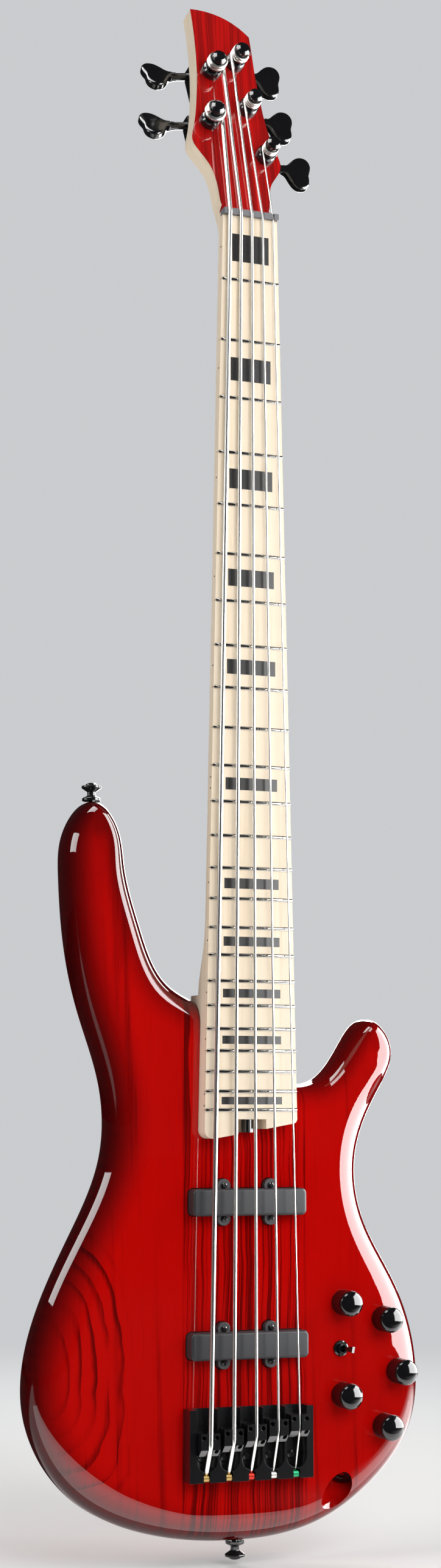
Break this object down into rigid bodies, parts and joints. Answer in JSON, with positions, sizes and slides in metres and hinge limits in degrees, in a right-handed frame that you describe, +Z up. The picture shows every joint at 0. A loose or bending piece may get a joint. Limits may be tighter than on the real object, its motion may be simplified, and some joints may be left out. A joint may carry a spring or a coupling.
{
  "type": "electric bass guitar",
  "caption": "Solid-body electric bass guitar with a bolt-on maple neck, red gloss body, black hardware, turning tuners and knobs, sliding saddles and height-adjustable pickups.",
  "frame": {"origin": "on the back of the body, on the centre line, level with the bridge end of the scale", "axes": "+Z up the neck towards the headstock, +Y out of the back (the face looks along -Y), +X to the treble side"},
  "size_m": [0.2908, 0.0697, 1.1289],
  "materials": {
    "red_lacquer": "high gloss transparent red over open grain",
    "maple": "satin",
    "maple_board": "satin",
    "nickel": "polished",
    "black_inlay": "satin",
    "grey_nut": "matte",
    "steel": "plain",
    "black_metal": "gloss black",
    "foam": "open foam",
    "pot_can": "plain",
    "circuit_board": "matte",
    "battery_case": "satin",
    "wire_sleeve": "satin",
    "cover_plastic": "matte",
    "string_steel": "wound",
    "black_knob": "gloss black",
    "charcoal_plastic": "satin",
    "coil_copper": "enamelled wire"
  },
  "bodies": {
    "instrument": {"body": "red_lacquer", "neck": "maple", "fingerboard": "maple_board", "frets": "nickel", "block_inlays": "black_inlay", "side_dots": "black_inlay", "nut": "grey_nut", "truss_rod": "steel", "neck_bolts": "black_metal", "neck_bolt_ferrules": "black_metal", "bridge_base": "black_metal", "bridge_screws": "black_metal", "pickup_foams": "foam", "tuner_housings": "black_metal", "tuner_bushings": "black_metal", "tuner_screws": "black_metal", "potentiometers": "pot_can", "panel_nuts": "black_metal", "switch_housing": "black_metal", "preamp_board": "circuit_board", "battery": "battery_case", "output_jack": "black_metal", "wiring": "wire_sleeve", "control_cover": "cover_plastic", "cover_screws": "black_metal", "strap_buttons": "black_metal", "strap_screws": "black_metal", "string_1": "string_steel", "string_2": "string_steel", "string_3": "string_steel", "string_4": "string_steel", "string_5": "string_steel"},
    "key_1": {"tuner_key_1": "black_metal"},
    "key_2": {"tuner_key_2": "black_metal"},
    "key_3": {"tuner_key_3": "black_metal"},
    "key_4": {"tuner_key_4": "black_metal"},
    "key_5": {"tuner_key_5": "black_metal"},
    "post_1": {"tuner_post_1": "black_metal"},
    "post_2": {"tuner_post_2": "black_metal"},
    "post_3": {"tuner_post_3": "black_metal"},
    "post_4": {"tuner_post_4": "black_metal"},
    "post_5": {"tuner_post_5": "black_metal"},
    "knob_1": {"knob_1": "black_knob"},
    "knob_2": {"knob_2": "black_knob"},
    "knob_3": {"knob_3": "black_knob"},
    "knob_4": {"knob_4": "black_knob"},
    "knob_5": {"knob_5": "black_knob"},
    "saddle_1": {"saddle_1": "black_metal"},
    "saddle_2": {"saddle_2": "black_metal"},
    "saddle_3": {"saddle_3": "black_metal"},
    "saddle_4": {"saddle_4": "black_metal"},
    "saddle_5": {"saddle_5": "black_metal"},
    "toggle": {"toggle_lever": "black_metal"},
    "truss_nut": {"truss_nut": "black_metal"},
    "neck_pickup": {"neck_pickup_cover": "charcoal_plastic", "neck_pickup_coils": "coil_copper", "neck_pickup_screws": "black_metal"},
    "bridge_pickup": {"bridge_pickup_cover": "charcoal_plastic", "bridge_pickup_coils": "coil_copper", "bridge_pickup_screws": "black_metal"}
  },
  "joints": [
    {"name": "key_1_turn", "type": "hinge", "parent": "instrument", "child": "key_1", "pos_m": [-0.02541, -0.00925, 0.94775], "axis": [0.9877, 0.0272, 0.1541], "continuous": true},
    {"name": "post_1_turn", "type": "hinge", "parent": "instrument", "child": "post_1", "pos_m": [-0.024, -0.03245, 0.94281], "axis": [0, -0.9848, 0.1736], "continuous": true},
    {"name": "key_2_turn", "type": "hinge", "parent": "instrument", "child": "key_2", "pos_m": [-0.02131, -0.00178, 0.9901], "axis": [0.9877, 0.0272, 0.1541], "continuous": true},
    {"name": "post_2_turn", "type": "hinge", "parent": "instrument", "child": "post_2", "pos_m": [-0.0199, -0.02499, 0.98516], "axis": [0, -0.9848, 0.1736], "continuous": true},
    {"name": "key_3_turn", "type": "hinge", "parent": "instrument", "child": "key_3", "pos_m": [0.00091, 0.00003, 1.00034], "axis": [0.9877, -0.0272, -0.1541], "continuous": true},
    {"name": "post_3_turn", "type": "hinge", "parent": "instrument", "child": "post_3", "pos_m": [-0.0005, -0.02318, 0.9954], "axis": [0, -0.9848, 0.1736], "continuous": true},
    {"name": "key_4_turn", "type": "hinge", "parent": "instrument", "child": "key_4", "pos_m": [0.00841, -0.00661, 0.96272], "axis": [0.9877, -0.0272, -0.1541], "continuous": true},
    {"name": "post_4_turn", "type": "hinge", "parent": "instrument", "child": "post_4", "pos_m": [0.007, -0.02982, 0.95778], "axis": [0, -0.9848, 0.1736], "continuous": true},
    {"name": "key_5_turn", "type": "hinge", "parent": "instrument", "child": "key_5", "pos_m": [0.02011, -0.01328, 0.9249], "axis": [0.9877, -0.0272, -0.1541], "continuous": true},
    {"name": "post_5_turn", "type": "hinge", "parent": "instrument", "child": "post_5", "pos_m": [0.0187, -0.03648, 0.91997], "axis": [0, -0.9848, 0.1736], "continuous": true},
    {"name": "knob_1_turn", "type": "hinge", "parent": "instrument", "child": "knob_1", "pos_m": [0.074, -0.04, 0.0815], "axis": [0, -1, 0], "range_deg": [-150, 150]},
    {"name": "knob_2_turn", "type": "hinge", "parent": "instrument", "child": "knob_2", "pos_m": [0.105, -0.04, 0.0695], "axis": [0, -1, 0], "range_deg": [-150, 150]},
    {"name": "knob_3_turn", "type": "hinge", "parent": "instrument", "child": "knob_3", "pos_m": [0.116, -0.04, 0.033], "axis": [0, -1, 0], "range_deg": [-150, 150]},
    {"name": "knob_4_turn", "type": "hinge", "parent": "instrument", "child": "knob_4", "pos_m": [0.0735, -0.04, 0.018], "axis": [0, -1, 0], "range_deg": [-150, 150]},
    {"name": "knob_5_turn", "type": "hinge", "parent": "instrument", "child": "knob_5", "pos_m": [0.105, -0.04, -0.0045], "axis": [0, -1, 0], "range_deg": [-150, 150]},
    {"name": "toggle_tilt", "type": "hinge", "parent": "instrument", "child": "toggle", "pos_m": [0.072, -0.0415, 0.05], "axis": [0, 0, -1], "range_deg": [0, 24]},
    {"name": "saddle_1_slide", "type": "slide", "parent": "instrument", "child": "saddle_1", "axis": [0, 0, 1], "range_m": [0, 0.004]},
    {"name": "saddle_2_slide", "type": "slide", "parent": "instrument", "child": "saddle_2", "axis": [0, 0, 1], "range_m": [0, 0.004]},
    {"name": "saddle_3_slide", "type": "slide", "parent": "instrument", "child": "saddle_3", "axis": [0, 0, 1], "range_m": [0, 0.004]},
    {"name": "saddle_4_slide", "type": "slide", "parent": "instrument", "child": "saddle_4", "axis": [0, 0, 1], "range_m": [0, 0.004]},
    {"name": "saddle_5_slide", "type": "slide", "parent": "instrument", "child": "saddle_5", "axis": [0, 0, 1], "range_m": [0, 0.004]},
    {"name": "truss_nut_turn", "type": "hinge", "parent": "instrument", "child": "truss_nut", "pos_m": [0, -0.0445, 0.2], "axis": [0, 0, 1], "range_deg": [-180, 180]},
    {"name": "neck_pickup_height", "type": "slide", "parent": "instrument", "child": "neck_pickup", "axis": [0, -1, 0], "range_m": [0, 0.003]},
    {"name": "bridge_pickup_height", "type": "slide", "parent": "instrument", "child": "bridge_pickup", "axis": [0, -1, 0], "range_m": [0, 0.003]}
  ],
  "couplings": [
    {"joint": "post_1_turn", "follows": "key_1_turn", "ratio": 0.05},
    {"joint": "post_2_turn", "follows": "key_2_turn", "ratio": 0.05},
    {"joint": "post_3_turn", "follows": "key_3_turn", "ratio": 0.05},
    {"joint": "post_4_turn", "follows": "key_4_turn", "ratio": 0.05},
    {"joint": "post_5_turn", "follows": "key_5_turn", "ratio": 0.05}
  ]
}
